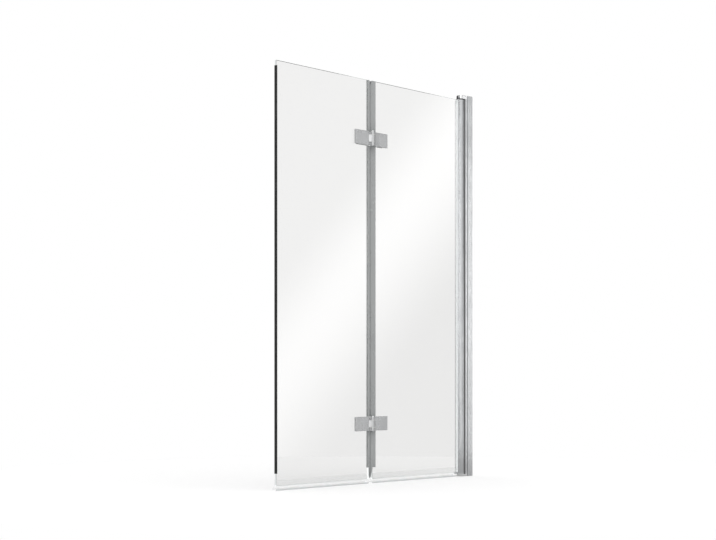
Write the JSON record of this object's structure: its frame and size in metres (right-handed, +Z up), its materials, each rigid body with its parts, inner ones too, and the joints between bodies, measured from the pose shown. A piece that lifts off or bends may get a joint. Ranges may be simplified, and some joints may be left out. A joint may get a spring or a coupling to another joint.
{
  "type": "bath screen",
  "caption": "Folding clear-glass bath screen: a wall profile carries a pivoting inner pane, and a second pane folds on chrome hinges.",
  "frame": {"origin": "on the wall, at the middle of the wall channel's back face and the level of the bath rim", "axes": "+Z up along the wall channel, +X into the wall, the screen runs towards -X and its front faces -Y"},
  "size_m": [1, 0.0426, 1.4],
  "materials": {
    "polished_aluminium": "bright polished and anodised, with fine lines along the extrusion",
    "chrome": "mirror chrome plate",
    "stainless": "turned stainless steel",
    "clear_glass": "clear toughened glass, 8 mm, polished edges",
    "clear_seal": "translucent soft vinyl",
    "dark_rubber": "matt dark grey rubber",
    "clear_pad": "translucent grey pads",
    "black_strip": "extruded black edge strip",
    "black_nylon": "moulded black nylon",
    "white_nylon": "moulded white nylon",
    "silver_cover": "chromed plastic covers"
  },
  "bodies": {
    "wall_frame": {"wall_channel": "polished_aluminium", "locking_screws": "stainless", "locking_nuts": "stainless", "screw_covers": "silver_cover"},
    "expander": {"expander_profile": "polished_aluminium", "wiper_front": "dark_rubber", "wiper_back": "dark_rubber", "head_bracket": "chrome", "foot_bracket": "chrome", "head_pivot_pin": "stainless", "foot_pivot_pin": "stainless", "bracket_screws": "stainless"},
    "inner_panel": {"pivot_profile": "polished_aluminium", "head_pivot_cap": "black_nylon", "foot_pivot_cap": "silver_cover", "head_pivot_bush": "white_nylon", "foot_pivot_bush": "white_nylon", "glazing_gasket_front": "clear_seal", "glazing_gasket_back": "clear_seal", "glass_packers": "white_nylon", "inner_glass": "clear_glass", "inner_edge_seal_low": "clear_seal", "inner_edge_seal_middle": "clear_seal", "inner_edge_seal_high": "clear_seal", "inner_bottom_seal": "clear_seal", "inner_leaf_pads": "clear_pad", "inner_hole_sleeves": "clear_pad", "inner_clamp_screws": "stainless", "upper_inner_leaf": "chrome", "lower_inner_leaf": "chrome", "upper_inner_clamp": "chrome", "lower_inner_clamp": "chrome", "upper_hinge_pin": "stainless", "lower_hinge_pin": "stainless", "hinge_pin_caps": "chrome", "knuckle_washers": "white_nylon"},
    "outer_panel": {"outer_glass": "clear_glass", "free_edge_strip": "black_strip", "outer_edge_seal_low": "clear_seal", "outer_edge_seal_middle": "clear_seal", "outer_edge_seal_high": "clear_seal", "outer_bottom_seal": "clear_seal", "outer_leaf_pads": "clear_pad", "outer_hole_sleeves": "clear_pad", "outer_clamp_screws": "stainless", "upper_outer_leaf": "chrome", "lower_outer_leaf": "chrome", "upper_outer_clamp": "chrome", "lower_outer_clamp": "chrome", "knuckle_bushes": "white_nylon"}
  },
  "joints": [
    {"name": "width_adjust", "type": "slide", "parent": "wall_frame", "child": "expander", "axis": [1, 0, 0], "range_m": [-0.008, 0.006]},
    {"name": "wall_pivot", "type": "hinge", "parent": "expander", "child": "inner_panel", "pos_m": [-0.0535, 0, 0], "axis": [0, 0, 1], "range_deg": [-90, 90]},
    {"name": "fold", "type": "hinge", "parent": "inner_panel", "child": "outer_panel", "pos_m": [-0.55, -0.015, 0], "axis": [0, 0, 1], "range_deg": [0, 180]}
  ]
}
